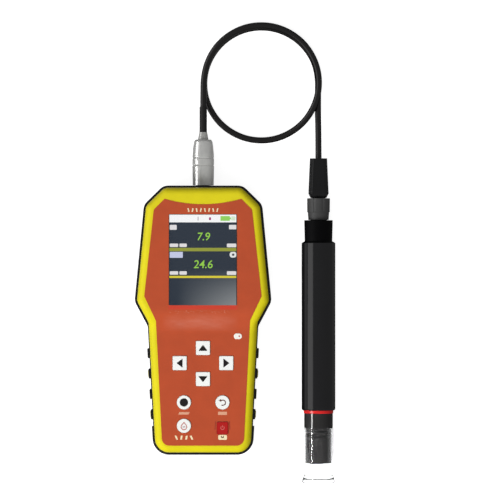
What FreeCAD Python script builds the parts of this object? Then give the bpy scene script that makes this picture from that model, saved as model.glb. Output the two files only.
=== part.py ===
"""Handheld water quality meter with its cable and its optical probe, in millimetres.

The meter lies on its back with the display facing +Z. +Y runs from the keypad to the cable socket,
and the origin is on the back face, at the middle of the case. The probe lies beside the meter,
to its right, and one loop and a half of cable joins the two.
"""

import FreeCAD, Part
import math
import os

from FreeCAD import Rotation, Vector

# ---- driving dimensions of the meter ----
# Right half of the case's outline, from the top edge down, as (half width, y).
CASE_HALF = [(33.5, 115.6), (49.6, 99.8), (57.6, 16.8), (47.6, -1.9), (41.4, -115.6)]
CASE_RADII = [8.0, 8.0, 9.0, 8.0, 12.5]
WAIST = 3  # the outline's one hollow corner, as an index of CASE_HALF
HEAD_HEIGHT = 40.0  # from the back face to the front of the case, beside the display
KEYPAD_HEIGHT = 34.0  # the same beside the keys
SLOPE_TOP_Y = 8.0  # the front face falls from the head to the keypad between these two
SLOPE_FOOT_Y = -8.5
SLOPE_ROUNDING = 22.0
SPLIT_Z = 23.0  # top of the rear case
WALL = 2.5
FLOOR = 3.5
TOP_PLATE = 3.0
BEVEL = 6.0
FOOT_ROUNDING = 3.5  # round the back face
GASKET = 0.6

# Bumper: how far it stands out of the case at each edge of the outline, from the top right
# corner clockwise: corner, side, waist, grip, bottom, and the same again up the left side.
BUMPER_OUT = [2.2, 2.2, 2.2, 0.9, 1.9, 0.9, 2.2, 2.2, 2.2, 1.9]
BUMPER_Z = (9.0, 27.0)
CORNER_GUARD_OUT = 2.1
CORNER_GUARD_Y = -93.0
RIB_COUNT = 4
RIB_TOP_Y = -29.0
RIB_PITCH = 17.8
RIB_LENGTH = 8.6
RIB_OUT = 2.5
INSERT_OUT = 0.5

# Membrane panel on the front face, right half from the top corner down.
PANEL_HALF = [(33.4, 105.8), (42.8, 96.4), (51.1, 21.0), (41.0, -0.4), (35.6, -109.4)]
PANEL_RADII = [1.2, 2.5, 3.0, 4.0, 6.5]
PANEL_DIP = 4.8  # how far the middle of the panel's top edge lies below its corners
PANEL_DEPTH = 0.5
PANEL_PROUD = 0.3

# Display.
WINDOW = (59.5, 79.3)
WINDOW_Y = 52.75
LENS_LAP = 1.5
LENS_THICK = 1.5
LENS_GLUE = 0.2
MODULE = (64.0, 84.0)
MODULE_Y = 54.2
MODULE_Z = (33.0, 36.4)
BRACKET_RIM = 3.0

# Keys: (name, x, y). The arrow keys are square, the next three round, and the last is red.
ARROW_KEYS = [
    ("key_up", 0, -24.2),
    ("key_down", 0, -51.3),
    ("key_left", -20.3, -37.4),
    ("key_right", 20.3, -37.4),
]
ROUND_KEYS = [("key_enter", -16.6, -71.7), ("key_return", 17.0, -71.7), ("key_backlight", -16.6, -92.1)]
POWER_KEY = ("key_power", 17.0, -94.0)
KEY_SIZE = 12.2
POWER_SIZE = (9.6, 10.6)
KEY_CORNER = 0.9
KEY_GAP = 0.3  # round the key, in the case and the panel
KEY_PROUD = 0.9  # above the panel
KEY_FLANGE = 1.5  # wider than the key on each side
KEY_FLANGE_Z = (29.5, 30.7)
KEY_EDGE = 0.35
SWITCH_SIZE = 6.0
SWITCH_Z = 27.9
PLUNGER_RADIUS = 1.7
PLUNGER_Z = 28.5

# Status light, an oval lens with a small lamp to the right of its middle.
LIGHT_AT = (30.4, -14.0)
LIGHT_SIZE = (7.1, 5.0)
LAMP_OFFSET = 1.2
LAMP_RADIUS = 0.7

# Circuit board and case screws.
BOARD_Z = (24.2, 25.8)
BOARD_INSET = 4.5
CASE_SCREWS = [(41.5, 92.0), (48.0, 16.5), (31.0, -107.0)]  # mirrored to the left side
BOSS_RADIUS = 3.6
SCREW_RADIUS = 1.45
SCREW_CLEAR = 1.6
SCREW_HEAD_RADIUS = 2.75
SCREW_HEAD_SEAT = 6.0  # from the back face to the seat of a case screw's head
SCREW_TOP_Z = 31.0

# Battery compartment in the back of the lower case.
CELL_RADIUS = 7.1
CELL_LENGTH = 50.5
CELL_COUNT = 4
CELL_PITCH = 14.6
CELL_Y = -60.0
CELL_Z = 12.3
DOOR = (66.0, 80.0)
DOOR_GAP = 0.4
DOOR_THICK = 2.0
DOOR_OPENING = (59.6, 60.0)
DOOR_SCREW_Y = 35.5  # from the middle of the door to its two screws
TRAY_WALL = 1.6

# Socket in the top edge of the rear case.
SOCKET_Z = 12.5
SOCKET_FLANGE_RADIUS = 10.0
SOCKET_BARREL_RADIUS = 7.5
SOCKET_BORE_RADIUS = 5.8
SOCKET_END_Y = 103.0
SOCKET_FLOOR_Y = 106.0
CONTACT_RADIUS = 0.5
CONTACT_RING = 3.0
CONTACT_COUNT = 5

# ---- driving dimensions of the cable and its plugs ----
CABLE_RADIUS = 2.75
PLUG_Y = 117.9  # the front rim of the plug's sleeve
SLEEVE_LENGTH = 40.0
SLEEVE_RADIUS = 9.5
SLEEVE_BORE = 8.1
SLEEVE_GROOVES_Y = (135.3, 141.8)
GROOVE_DEPTH = 0.5
GROOVE_WIDTH = 1.8
PLUG_CORE_END_Y = 150.0
CLEARANCE = 0.1  # between pieces that slide or push into each other
CONE_RADIUS = 4.5
CONE_TIP_RADIUS = 3.4
CONE_TIP_Y = 164.5
SHRINK_LENGTH = 22.3
SHRINK_WALL = 0.5
LOOP_CENTRE = (51.0, 207.9)
LOOP_RADIUS = 50.4
LOOP_STEP = 30  # degrees of loop from one point of the route to the next
FLOOR_LIE = 2.95  # height of the cable's middle where it lies on the surface
CROSSING_LIE = 9.2  # the same where it lies on the turn below it
INNER_TURN = 1.7  # the lower turn is this much tighter at the top of the loop

# ---- driving dimensions of the probe ----
PROBE_X = 101.0
TUBE_RADIUS = 14.75
TUBE_BORE = 12.6
TUBE_TOP_Y = 68.6
TUBE_BEVEL = 1.3
TUBE_FOOT_Y = -79.3
COLLAR_TOP_Y = 87.3
NUT_TOP_Y = 106.5
BOOT_FOOT_Y = 106.8
BOOT_TOP_Y = 141.4
BOOT_SHOULDER = 3.8  # from the boot's foot to its widest section
BOOT_HALF_WIDTHS = (6.9, 8.8, 7.5)  # at the foot, the shoulder and the top
BOOT_BEVEL = 3.0
BOOT_ROUNDING = 1.0
CONNECTOR_Y = (86.0, 114.0)  # the connector's inner body
CONNECTOR_RIM_Y = (99.3, 103.8)  # the rim the nut pulls on
CONNECTOR_RIM_RADIUS = 7.3
PLUG_BODY_RADIUS = 5.5
NUT_RADIUS = 10.0
NUT_LIP_RADIUS = 8.9  # its narrower end, beside the collar
NUT_BORE = 7.6
GRIP_COUNT = 8
GRIP_RING = 12.6  # the nut's flutes are cut by bars this far from its axis
GRIP_RADIUS = 3.0
COLLAR_RADIUS = 12.5
NOSE_RADIUS = 7.4  # of the collar's nose, inside the nut
NOSE_BORE = 5.6
NOSE_END_Y = 98.8
CAP_SPIGOT_Y = 50.0
TUBE_SEAL_Y = (59.0, -68.0)
HEAD_SPIGOT_Y = -58.0
RING_WIDTH = 2.5
RING_RADIUS = 12.95
RING_BORE = 11.5
NECK_FOOT_Y = -94.5
NECK_RADIUS = 12.55
HEAD_FOOT_Y = -125.5
HEAD_RADIUS = 11.6
CUP_RADIUS = 12.85
CUP_BORE = 11.9
CUP_FOOT_RADIUS = 14.4
CUP_FOOT_Y = -142.8
CUP_FLARE = (-137.0, -140.8)  # where the cup's wall widens into its foot
CUP_FLOOR = 6.0
SEAL_SECTION = 1.3

PROBE_Z = TUBE_RADIUS  # the tube lies on the surface
FRONT_Z = SPLIT_Z + GASKET
PANEL_TOP = KEYPAD_HEIGHT + PANEL_PROUD
TALL = 60.0  # anything above the case


# ---- helpers ----
def rounded_wire(corners, radii):
    """A closed wire of straight lines through the corners, with an arc of each radius at its corner."""
    count = len(corners)
    arcs = []
    for i, corner in enumerate(corners):
        back = (corners[i - 1] - corner).normalize()
        ahead = (corners[(i + 1) % count] - corner).normalize()
        half = back.getAngle(ahead) / 2
        middle = (back + ahead).normalize()
        reach = radii[i] / math.tan(half)
        centre = corner + middle * (radii[i] / math.sin(half))
        arcs.append((corner + back * reach, centre - middle * radii[i], corner + ahead * reach))
    edges = []
    for i, (start, on_arc, end) in enumerate(arcs):
        if radii[i] > 0:
            edges.append(Part.Arc(start, on_arc, end).toShape())
        edges.append(Part.LineSegment(end, arcs[(i + 1) % count][0]).toShape())
    return Part.Wire(edges)


def prism(points, radii, low, high):
    """The outline of (x, y) points, with rounded corners, from z = low to z = high."""
    wire = rounded_wire([Vector(x, y, low) for x, y in points], radii)
    return Part.Face(wire).extrude(Vector(0, 0, high - low))


def block(x, y, width, length, low, high, radius=0.0):
    """An upright block centred on (x, y), with rounded upright edges."""
    points = [(x + sx * width / 2, y + sy * length / 2) for sx, sy in ((1, 1), (1, -1), (-1, -1), (-1, 1))]
    return prism(points, [radius] * 4, low, high)


def disc(x, y, radius, low, high):
    return Part.makeCylinder(radius, high - low, Vector(x, y, low))


def along_y(x, z, radius, start, end):
    return Part.makeCylinder(radius, end - start, Vector(x, start, z), Vector(0, 1, 0))


def lathe(profile, x, z):
    """The closed outline of (radius, y) points turned about the line through (x, z) along Y."""
    points = [Vector(x + radius, y, z) for radius, y in profile]
    face = Part.Face(Part.makePolygon(points + points[:1]))
    return face.revolve(Vector(x, 0, z), Vector(0, 1, 0), 360)


def tube_along_y(x, z, outer, inner, start, end):
    return along_y(x, z, outer, start, end).cut(along_y(x, z, inner, start, end))


def o_ring(x, z, outer, section, y):
    """A round seal about Y, with its middle at y."""
    return Part.makeTorus(outer - section / 2, section / 2, Vector(x, y, z), Vector(0, 1, 0))


def round_rims(solid, rims):
    """Rounds the circular edges about Y that have these (radius, y), each by its own amount."""
    for radius, y, amount in rims:
        found = [
            e
            for e in solid.Edges
            if isinstance(e.Curve, Part.Circle)
            and abs(e.Curve.Radius - radius) < 0.01
            and abs(e.Curve.Center.y - y) < 0.01
        ]
        solid = solid.makeFillet(amount, found)
    return solid


def fused(solids):
    return solids[0].multiFuse(solids[1:]).removeSplitter()


def both_sides(points):
    return [(side * x, y) for x, y in points for side in (1, -1)]


def whole(half):
    """The clockwise outline of a shape that is symmetric about x = 0, from its right half."""
    return list(half) + [(-x, y) for x, y in reversed(half)]


def grown(points, amounts):
    """A clockwise outline with edge i, from point i to the next, moved outwards by amounts[i]."""
    count = len(points)
    lines = []
    for i, (x, y) in enumerate(points):
        nx, ny = points[(i + 1) % count]
        length = math.hypot(nx - x, ny - y)
        dx, dy = (nx - x) / length, (ny - y) / length
        lines.append((x - dy * amounts[i], y + dx * amounts[i], dx, dy))
    moved = []
    for i in range(count):
        ax, ay, adx, ady = lines[i - 1]
        bx, by, bdx, bdy = lines[i]
        along = ((bx - ax) * bdy - (by - ay) * bdx) / (adx * bdy - ady * bdx)
        moved.append((ax + adx * along, ay + ady * along))
    return moved


def case_prism(growth, low, high):
    """The case's outline moved outwards by growth, or inwards where it is negative."""
    points = grown(whole(CASE_HALF), [growth] * (2 * len(CASE_HALF)))
    half_radii = [max(0.6, r + growth * (-1 if i == WAIST else 1)) for i, r in enumerate(CASE_RADII)]
    return prism(points, whole_radii(half_radii), low, high)


def whole_radii(half):
    return list(half) + list(reversed(half))


def under_front(lift):
    """Everything below the front face of the case, with that face moved up by lift."""
    far = 150.0
    outline = [
        (far, HEAD_HEIGHT + lift),
        (SLOPE_TOP_Y, HEAD_HEIGHT + lift),
        (SLOPE_FOOT_Y, KEYPAD_HEIGHT + lift),
        (-far, KEYPAD_HEIGHT + lift),
        (-far, 0.0),
        (far, 0.0),
    ]
    radii = [0, SLOPE_ROUNDING, SLOPE_ROUNDING, 0, 0, 0]
    wire = rounded_wire([Vector(-far, y, z) for y, z in outline], radii)
    return Part.Face(wire).extrude(Vector(2 * far, 0, 0))


def panel_prism(low, high):
    """The outline of the membrane panel, whose top edge dips in a shallow arc."""
    plate = prism(whole(PANEL_HALF), whole_radii(PANEL_RADII), low, high)
    half_width, corner_y = PANEL_HALF[0]
    radius = (half_width**2 + PANEL_DIP**2) / (2 * PANEL_DIP)
    return plate.cut(disc(0, corner_y - PANEL_DIP + radius, radius, low, high))


def key_shape(name, growth, low, high):
    """The outline of a key, moved outwards by growth."""
    for key, x, y in ARROW_KEYS:
        if key == name:
            side = KEY_SIZE + 2 * growth
            return block(x, y, side, side, low, high, KEY_CORNER + growth)
    for key, x, y in ROUND_KEYS:
        if key == name:
            return disc(x, y, KEY_SIZE / 2 + growth, low, high)
    width, length = [side + 2 * growth for side in POWER_SIZE]
    return block(POWER_KEY[1], POWER_KEY[2], width, length, low, high, KEY_CORNER + growth)


def oval(x, y, width, height, low, high):
    """An upright slug with round ends, wider than it is high."""
    return block(x, y, width, height, low, high, height / 2 - 0.01)


KEY_NAMES = [key[0] for key in ARROW_KEYS + ROUND_KEYS + [POWER_KEY]]


# ---- meter case ----
def front_case():
    """The yellow half: bevelled all round, with seats for the panel, the lens and the keys."""
    shell = case_prism(0, FRONT_Z, TALL).common(under_front(0))
    rim = [e for e in shell.Edges if on_top_rim(e)]
    shell = shell.makeFillet(BEVEL, rim)
    low_room = case_prism(-WALL, FRONT_Z, TALL).common(under_front(-BEVEL - 2))
    high_room = case_prism(-BEVEL - 1, FRONT_Z, TALL).common(under_front(-TOP_PLATE))
    shell = shell.cut(low_room).cut(high_room)
    bosses = [disc(x, y, BOSS_RADIUS, BOARD_Z[1], KEYPAD_HEIGHT) for x, y in both_sides(CASE_SCREWS)]
    shell = shell.multiFuse(bosses)
    cuts = [panel_prism(FRONT_Z, TALL).cut(under_front(-PANEL_DEPTH))]
    cuts.append(lens_shape(HEAD_HEIGHT - PANEL_DEPTH - LENS_GLUE - LENS_THICK, TALL))
    cuts.append(block(0, WINDOW_Y, WINDOW[0] + 0.6, WINDOW[1] + 0.6, FRONT_Z, TALL, 1.0))
    cuts += [key_shape(name, KEY_GAP, FRONT_Z, TALL) for name in KEY_NAMES]
    cuts.append(oval(*LIGHT_AT, *LIGHT_SIZE, FRONT_Z, TALL))
    cuts += [disc(x, y, SCREW_RADIUS + 0.05, 0, SCREW_TOP_Z + 0.3) for x, y in both_sides(CASE_SCREWS)]
    return shell.cut(Part.makeCompound(cuts))


def on_top_rim(edge):
    """Whether an edge of the uncut front case runs round the rim of its front face."""
    middle = edge.valueAt((edge.FirstParameter + edge.LastParameter) / 2)
    upright = abs(edge.tangentAt((edge.FirstParameter + edge.LastParameter) / 2).z) > 0.99
    outline = case_prism(0, FRONT_Z, TALL)
    sides = [f for f in outline.Faces if abs(f.normalAt(0, 0).z) < 0.5]
    away = min(side.distToShape(Part.Vertex(middle))[0] for side in sides)
    return away < 0.001 and not upright and middle.z > FRONT_Z + 1


def rear_case():
    """The black half: a tray with screw bosses, the socket's hole and the battery opening."""
    shell = case_prism(0, 0, SPLIT_Z)
    foot = [e for e in shell.Edges if e.BoundBox.ZMax < 0.01]
    shell = shell.makeFillet(FOOT_ROUNDING, foot)
    shell = shell.cut(case_prism(-WALL, FLOOR, TALL))
    bosses = [disc(x, y, BOSS_RADIUS, 1.0, BOARD_Z[0]) for x, y in both_sides(CASE_SCREWS)]
    bosses += [disc(0, y, BOSS_RADIUS, FLOOR - 1, 9.0) for y in door_screw_places()]
    shell = shell.multiFuse(bosses)
    cuts = []
    for x, y in both_sides(CASE_SCREWS):
        cuts.append(disc(x, y, SCREW_CLEAR, 0, TALL))
        cuts.append(disc(x, y, SCREW_HEAD_RADIUS + 0.3, 0, SCREW_HEAD_SEAT))
    cuts.append(block(0, CELL_Y, *DOOR, 0, DOOR_THICK, 2.0))
    cuts.append(block(0, CELL_Y, *DOOR_OPENING, 0, FLOOR, 1.0))
    cuts += [disc(0, y, SCREW_RADIUS + 0.05, 0, 8.0) for y in door_screw_places()]
    cuts.append(along_y(0, SOCKET_Z, SOCKET_BARREL_RADIUS + 0.1, SOCKET_END_Y, 120))
    return shell.cut(Part.makeCompound(cuts))


def door_screw_places():
    return [CELL_Y + DOOR_SCREW_Y, CELL_Y - DOOR_SCREW_Y]


def case_gasket():
    return case_prism(-0.4, SPLIT_Z, FRONT_Z).cut(case_prism(-WALL + 0.3, SPLIT_Z, FRONT_Z))


def rubber_bumper():
    """The black band round the case, with grip ribs down both sides and thicker lower corners."""
    low, high = BUMPER_Z
    points = grown(whole(CASE_HALF), BUMPER_OUT)
    half_radii = [r + (-2 if i == WAIST else 2) for i, r in enumerate(CASE_RADII)]
    band = prism(points, whole_radii(half_radii), low, high)
    lower_end = Part.makeBox(200, 60, 60, Vector(-100, CORNER_GUARD_Y - 60, 0))
    guard = case_prism(CORNER_GUARD_OUT, low, high).common(lower_end)
    solids = [band, guard] + [rib(i, side, RIB_OUT, *BUMPER_Z) for i in range(RIB_COUNT) for side in (1, -1)]
    body = fused(solids)
    rims = [e for e in body.Edges if e.BoundBox.ZLength < 0.01]
    body = body.makeChamfer(0.5, rims)
    body = body.cut(case_prism(0, 0, TALL))
    body = body.cut(along_y(0, SOCKET_Z, SOCKET_FLANGE_RADIUS + 0.3, 110, 125))
    return body.cut(Part.makeCompound(insert_blocks()))


def rib(index, side, out, low, high, length=RIB_LENGTH):
    """One grip rib on the slanting side of the lower case."""
    (top_x, top_y), (foot_x, foot_y) = CASE_HALF[WAIST], CASE_HALF[WAIST + 1]
    y = RIB_TOP_Y - index * RIB_PITCH
    x = top_x + (foot_x - top_x) * (y - top_y) / (foot_y - top_y)
    lean = math.degrees(math.atan2(top_x - foot_x, top_y - foot_y))
    bar = block(0, 0, 2 * out, length, low, high, 0.8)
    bar.rotate(Vector(0, 0, 0), Vector(0, 0, 1), -lean * side)
    bar.translate(Vector(side * x, y, 0))
    return bar


def insert_blocks():
    """The yellow pads set into every second rib."""
    low, high = BUMPER_Z[0] + 3, BUMPER_Z[1] - 6
    pads = []
    for index in (1, 3):
        for side in (1, -1):
            pad = rib(index, side, RIB_OUT + INSERT_OUT, low, high, RIB_LENGTH - 2.4)
            pads.append(pad.cut(rib(index, side, RIB_OUT - 0.8, low, high, RIB_LENGTH)))
    return [s for pad in pads for s in pad.Solids if abs(s.CenterOfMass.x) > case_side_x(s.CenterOfMass.y)]


def case_side_x(y):
    (top_x, top_y), (foot_x, foot_y) = CASE_HALF[WAIST], CASE_HALF[WAIST + 1]
    return top_x + (foot_x - top_x) * (y - top_y) / (foot_y - top_y)


def grip_inserts():
    return Part.makeCompound(insert_blocks())


# ---- front panel and display ----
def face_overlay():
    """The orange membrane, a thin sheet that follows the front face down the slope."""
    sheet = panel_prism(FRONT_Z, TALL).common(under_front(PANEL_PROUD)).cut(under_front(-PANEL_DEPTH))
    cuts = [block(0, WINDOW_Y, WINDOW[0], WINDOW[1], FRONT_Z, TALL, 0.8)]
    cuts += [key_shape(name, KEY_GAP, FRONT_Z, TALL) for name in KEY_NAMES]
    cuts.append(oval(*LIGHT_AT, *LIGHT_SIZE, FRONT_Z, TALL))
    return sheet.cut(Part.makeCompound(cuts))


def lens_shape(low, high):
    return block(0, WINDOW_Y, WINDOW[0] + 2 * LENS_LAP, WINDOW[1] + 2 * LENS_LAP, low, high, 1.5)


def display_window():
    top = HEAD_HEIGHT - PANEL_DEPTH - LENS_GLUE
    return lens_shape(top - LENS_THICK, top)


def display_gasket():
    """The foam frame between the display module and the case."""
    low, high = MODULE_Z[1], HEAD_HEIGHT - TOP_PLATE
    outer = block(0, MODULE_Y, MODULE[0], MODULE[1], low, high, 1.5)
    return outer.cut(block(0, WINDOW_Y, WINDOW[0] + 0.8, WINDOW[1] + 0.8, low, high, 1.0))


def display_module():
    return block(0, MODULE_Y, MODULE[0], MODULE[1], *MODULE_Z, 1.5)


def display_bracket():
    """The frame that carries the display module above the circuit board."""
    low, high = BOARD_Z[1], MODULE_Z[0]
    width, length = MODULE
    outer = block(0, MODULE_Y, width, length, low, high, 1.5)
    inner = block(0, MODULE_Y, width - 2 * BRACKET_RIM, length - 2 * BRACKET_RIM, low, high, 1.5)
    return outer.cut(inner)


# ---- keys and lights ----
def key_cap(name):
    """A key: the cap that stands out of the panel, on the flange that holds it under the case."""
    cap = key_shape(name, 0, KEY_FLANGE_Z[0], PANEL_TOP + KEY_PROUD)
    rim = [e for e in cap.Edges if e.BoundBox.ZMin > PANEL_TOP]
    cap = cap.makeFillet(KEY_EDGE, rim)
    return fused([cap, key_shape(name, KEY_FLANGE, *KEY_FLANGE_Z)])


def key_switches():
    """One push switch under each key, soldered to the board."""
    switches = []
    for _, x, y in ARROW_KEYS + ROUND_KEYS + [POWER_KEY]:
        body = block(x, y, SWITCH_SIZE, SWITCH_SIZE, BOARD_Z[1], SWITCH_Z, 0.4)
        switches.append(fused([body, disc(x, y, PLUNGER_RADIUS, SWITCH_Z - 0.5, PLUNGER_Z)]))
    return Part.makeCompound(switches)


def status_light():
    """The white oval lens, with a hole for the lamp."""
    x, y = LIGHT_AT
    lens = oval(x, y, *LIGHT_SIZE, BOARD_Z[1] + 3, PANEL_TOP + 0.3)
    lens = lens.makeFillet(0.25, [e for e in lens.Edges if e.BoundBox.ZMin > PANEL_TOP])
    return lens.cut(disc(x + LAMP_OFFSET, y, LAMP_RADIUS, 0, TALL))


def status_lamp():
    x, y = LIGHT_AT
    return disc(x + LAMP_OFFSET, y, LAMP_RADIUS, BOARD_Z[1], PANEL_TOP + 0.35)


# ---- inside the meter ----
def main_board():
    holes = [disc(x, y, SCREW_CLEAR, 0, TALL) for x, y in both_sides(CASE_SCREWS)]
    return case_prism(-BOARD_INSET, *BOARD_Z).cut(Part.makeCompound(holes))


def screw(x, y, seat, top, drive=1.1):
    """A screw put in from the back, with a round head and a socket in it."""
    head = disc(x, y, SCREW_HEAD_RADIUS, seat - 2.0, seat)
    head = head.makeFillet(0.5, [e for e in head.Edges if e.BoundBox.ZMax < seat - 1.9])
    whole_screw = fused([head, disc(x, y, SCREW_RADIUS, seat - 0.5, top)])
    return whole_screw.cut(disc(x, y, drive, seat - 2.0, seat - 0.9))


def case_screws():
    return Part.makeCompound([screw(x, y, SCREW_HEAD_SEAT, SCREW_TOP_Z) for x, y in both_sides(CASE_SCREWS)])


def battery_cells():
    first = -(CELL_COUNT - 1) / 2 * CELL_PITCH
    cells = []
    for i in range(CELL_COUNT):
        x = first + i * CELL_PITCH
        end = 1 if i % 2 else -1
        can = along_y(x, CELL_Z, CELL_RADIUS, CELL_Y - CELL_LENGTH / 2 + 0.6, CELL_Y + CELL_LENGTH / 2 - 0.6)
        nib_y = CELL_Y + end * (CELL_LENGTH / 2 - 0.6)
        nib = along_y(x, CELL_Z, 2.6, min(nib_y, nib_y + end), max(nib_y, nib_y + end))
        cells.append(fused([can, nib]))
    return Part.makeCompound(cells)


def tray_inside():
    return (CELL_COUNT * CELL_PITCH + 0.4, CELL_LENGTH + 4.0)


def battery_tray():
    """The open box that holds the four cells, reached from the back."""
    width, length = tray_inside()
    top = SPLIT_Z - 0.8
    outer = block(0, CELL_Y, width + 2 * TRAY_WALL, length + 2 * TRAY_WALL, FLOOR, top, 1.0)
    return outer.cut(block(0, CELL_Y, width, length, FLOOR, top - TRAY_WALL, 0.5))


def battery_contacts():
    """Bent steel strips at both ends of the cells."""
    length = tray_inside()[1]
    first = -(CELL_COUNT - 1) / 2 * CELL_PITCH
    strips = []
    for i in range(CELL_COUNT):
        for end in (1, -1):
            y = CELL_Y + end * (length / 2 - 0.3)
            strips.append(block(first + i * CELL_PITCH, y, 8.0, 0.6, CELL_Z - 4, CELL_Z + 4))
    return Part.makeCompound(strips)


def battery_door():
    width, length = [side - 2 * DOOR_GAP for side in DOOR]
    door = block(0, CELL_Y, width, length, 0, DOOR_THICK - 0.3, 1.9)
    holes = [disc(0, y, SCREW_CLEAR, 0, TALL) for y in door_screw_places()]
    sinks = [disc(0, y, SCREW_HEAD_RADIUS + 0.2, 0, 1.0) for y in door_screw_places()]
    grooves = [block(0, CELL_Y + 18 + 3 * i, 22, 1.0, 0, 0.5, 0.45) for i in range(3)]
    return door.cut(Part.makeCompound(holes + sinks + grooves))


def door_seal():
    """The flat rubber seal between the battery door and its ledge."""
    low, high = DOOR_THICK - 0.3, DOOR_THICK
    width, length = [side - 3 * DOOR_GAP for side in DOOR]
    outer = block(0, CELL_Y, width, length, low, high, 1.7)
    inner = block(0, CELL_Y, *DOOR_OPENING, low, high, 1.0)
    holes = [disc(0, y, SCREW_CLEAR, 0, TALL) for y in door_screw_places()]
    return outer.cut(Part.makeCompound([inner] + holes))


def door_screws():
    screws = []
    for y in door_screw_places():
        head = disc(0, y, SCREW_HEAD_RADIUS, 0.1, 1.0)
        body = fused([head, disc(0, y, SCREW_RADIUS, 0.5, 7.0)])
        screws.append(body.cut(disc(0, y, 1.0, 0, 0.7)))
    return Part.makeCompound(screws)


# ---- socket in the meter ----
def contact_pins(x, z, radius, start, end):
    """A ring of pins about the line through (x, z) along Y, or the holes for them."""
    turns = [math.radians(90 + 360 * i / CONTACT_COUNT) for i in range(CONTACT_COUNT)]
    places = [(x + CONTACT_RING * math.cos(t), z + CONTACT_RING * math.sin(t)) for t in turns]
    return Part.makeCompound([along_y(px, pz, radius, start, end) for px, pz in places])


def panel_socket():
    """The metal socket: a flange outside the case and a barrel through its wall."""
    wall_y = CASE_HALF[0][1]
    profile = [
        (0, SOCKET_END_Y),
        (SOCKET_BARREL_RADIUS, SOCKET_END_Y),
        (SOCKET_BARREL_RADIUS, wall_y),
        (SOCKET_FLANGE_RADIUS, wall_y),
        (SOCKET_FLANGE_RADIUS, PLUG_Y - 0.5),
        (SOCKET_BORE_RADIUS, PLUG_Y - 0.5),
        (SOCKET_BORE_RADIUS, SOCKET_FLOOR_Y),
        (0, SOCKET_FLOOR_Y),
    ]
    body = round_rims(lathe(profile, 0, SOCKET_Z), [(SOCKET_FLANGE_RADIUS, PLUG_Y - 0.5, 0.3)])
    return body.cut(contact_pins(0, SOCKET_Z, CONTACT_RADIUS, SOCKET_END_Y, SOCKET_FLOOR_Y))


def socket_contacts():
    return contact_pins(0, SOCKET_Z, CONTACT_RADIUS, SOCKET_END_Y - 3, SOCKET_FLOOR_Y + 5)


def socket_nut():
    """The hexagonal nut that pulls the socket against the inside of the case."""
    across = 9.0
    corners = [(math.cos(math.radians(a)), math.sin(math.radians(a))) for a in range(0, 360, 60)]
    high = CASE_HALF[0][1] - WALL
    points = [Vector(across * c, high, SOCKET_Z + across * s) for c, s in corners]
    nut = Part.Face(Part.makePolygon(points + points[:1])).extrude(Vector(0, -3.0, 0))
    return nut.cut(along_y(0, SOCKET_Z, SOCKET_BARREL_RADIUS, 100, 120))


# ---- plug at the meter's end of the cable ----
def plug_core():
    """The plug's inner body: its nose in the socket and the barrel under the sleeve."""
    nose = SOCKET_BORE_RADIUS - CLEARANCE
    barrel = SLEEVE_BORE - CLEARANCE
    profile = [
        (0, SOCKET_FLOOR_Y + 0.5),
        (nose, SOCKET_FLOOR_Y + 0.5),
        (nose, PLUG_Y + 0.3),
        (barrel, PLUG_Y + 0.3),
        (barrel, PLUG_CORE_END_Y),
        (0, PLUG_CORE_END_Y),
    ]
    core = round_rims(lathe(profile, 0, SOCKET_Z), [(nose, SOCKET_FLOOR_Y + 0.5, 0.5)])
    return core.cut(contact_pins(0, SOCKET_Z, CONTACT_RADIUS + CLEARANCE, SOCKET_END_Y, SOCKET_FLOOR_Y + 7))


def release_sleeve():
    """The metal sleeve that is drawn back to free the plug, with two grip grooves."""
    top = PLUG_Y + SLEEVE_LENGTH
    profile = [
        (SLEEVE_BORE, PLUG_Y),
        (SLEEVE_RADIUS - 0.3, PLUG_Y),
        (SLEEVE_RADIUS, PLUG_Y + 18),
        (SLEEVE_RADIUS - 0.2, PLUG_Y + 27),
        (SLEEVE_RADIUS - 0.8, PLUG_Y + 34),
        (SLEEVE_RADIUS - 1.5, top - 1.6),
        (SLEEVE_RADIUS - 2.6, top),
        (CONE_RADIUS + 0.2, top),
        (CONE_RADIUS + 0.2, top - 3),
        (SLEEVE_BORE - 1.3, top - 3),
        (SLEEVE_BORE, top - 6),
    ]
    sleeve = lathe(profile, 0, SOCKET_Z)
    return sleeve.cut(Part.makeCompound([sleeve_groove(y) for y in SLEEVE_GROOVES_Y]))


def sleeve_groove(y):
    """A ring with a triangular section, which cuts a V into the sleeve with its middle at y."""
    deep, high = SLEEVE_RADIUS - GROOVE_DEPTH, SLEEVE_RADIUS + GROOVE_DEPTH
    return lathe([(deep, y), (high, y + GROOVE_WIDTH), (high, y - GROOVE_WIDTH)], 0, SOCKET_Z)


def plug_cone():
    """The tapered clamp where the cable enters the plug."""
    profile = [
        (CABLE_RADIUS + 0.05, PLUG_CORE_END_Y),
        (CONE_RADIUS, PLUG_CORE_END_Y),
        (CONE_RADIUS, PLUG_Y + SLEEVE_LENGTH + 0.6),
        (CONE_TIP_RADIUS, CONE_TIP_Y),
        (CABLE_RADIUS + 0.05, CONE_TIP_Y),
    ]
    return lathe(profile, 0, SOCKET_Z)


def heat_shrink():
    """The black sleeve shrunk over the first stretch of cable."""
    path = bent_path(cable_route())[0]
    first_stretch = Part.Wire(path.Edges[:2])
    reach = Part.makeBox(20, SHRINK_LENGTH, 20, Vector(-10, CONE_TIP_Y, SOCKET_Z - 10))
    sleeve = swept(first_stretch, CABLE_RADIUS + SHRINK_WALL).common(reach)
    return sleeve.cut(swept(first_stretch, CABLE_RADIUS))


# ---- cable ----
def loop_point(degrees, radius, height):
    """A point of the route outside the loop, so that the middle of each run lies on the loop."""
    out = radius / math.cos(math.radians(LOOP_STEP / 2))
    turn = math.radians(degrees)
    return (LOOP_CENTRE[0] + out * math.cos(turn), LOOP_CENTRE[1] + out * math.sin(turn), height)


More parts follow.
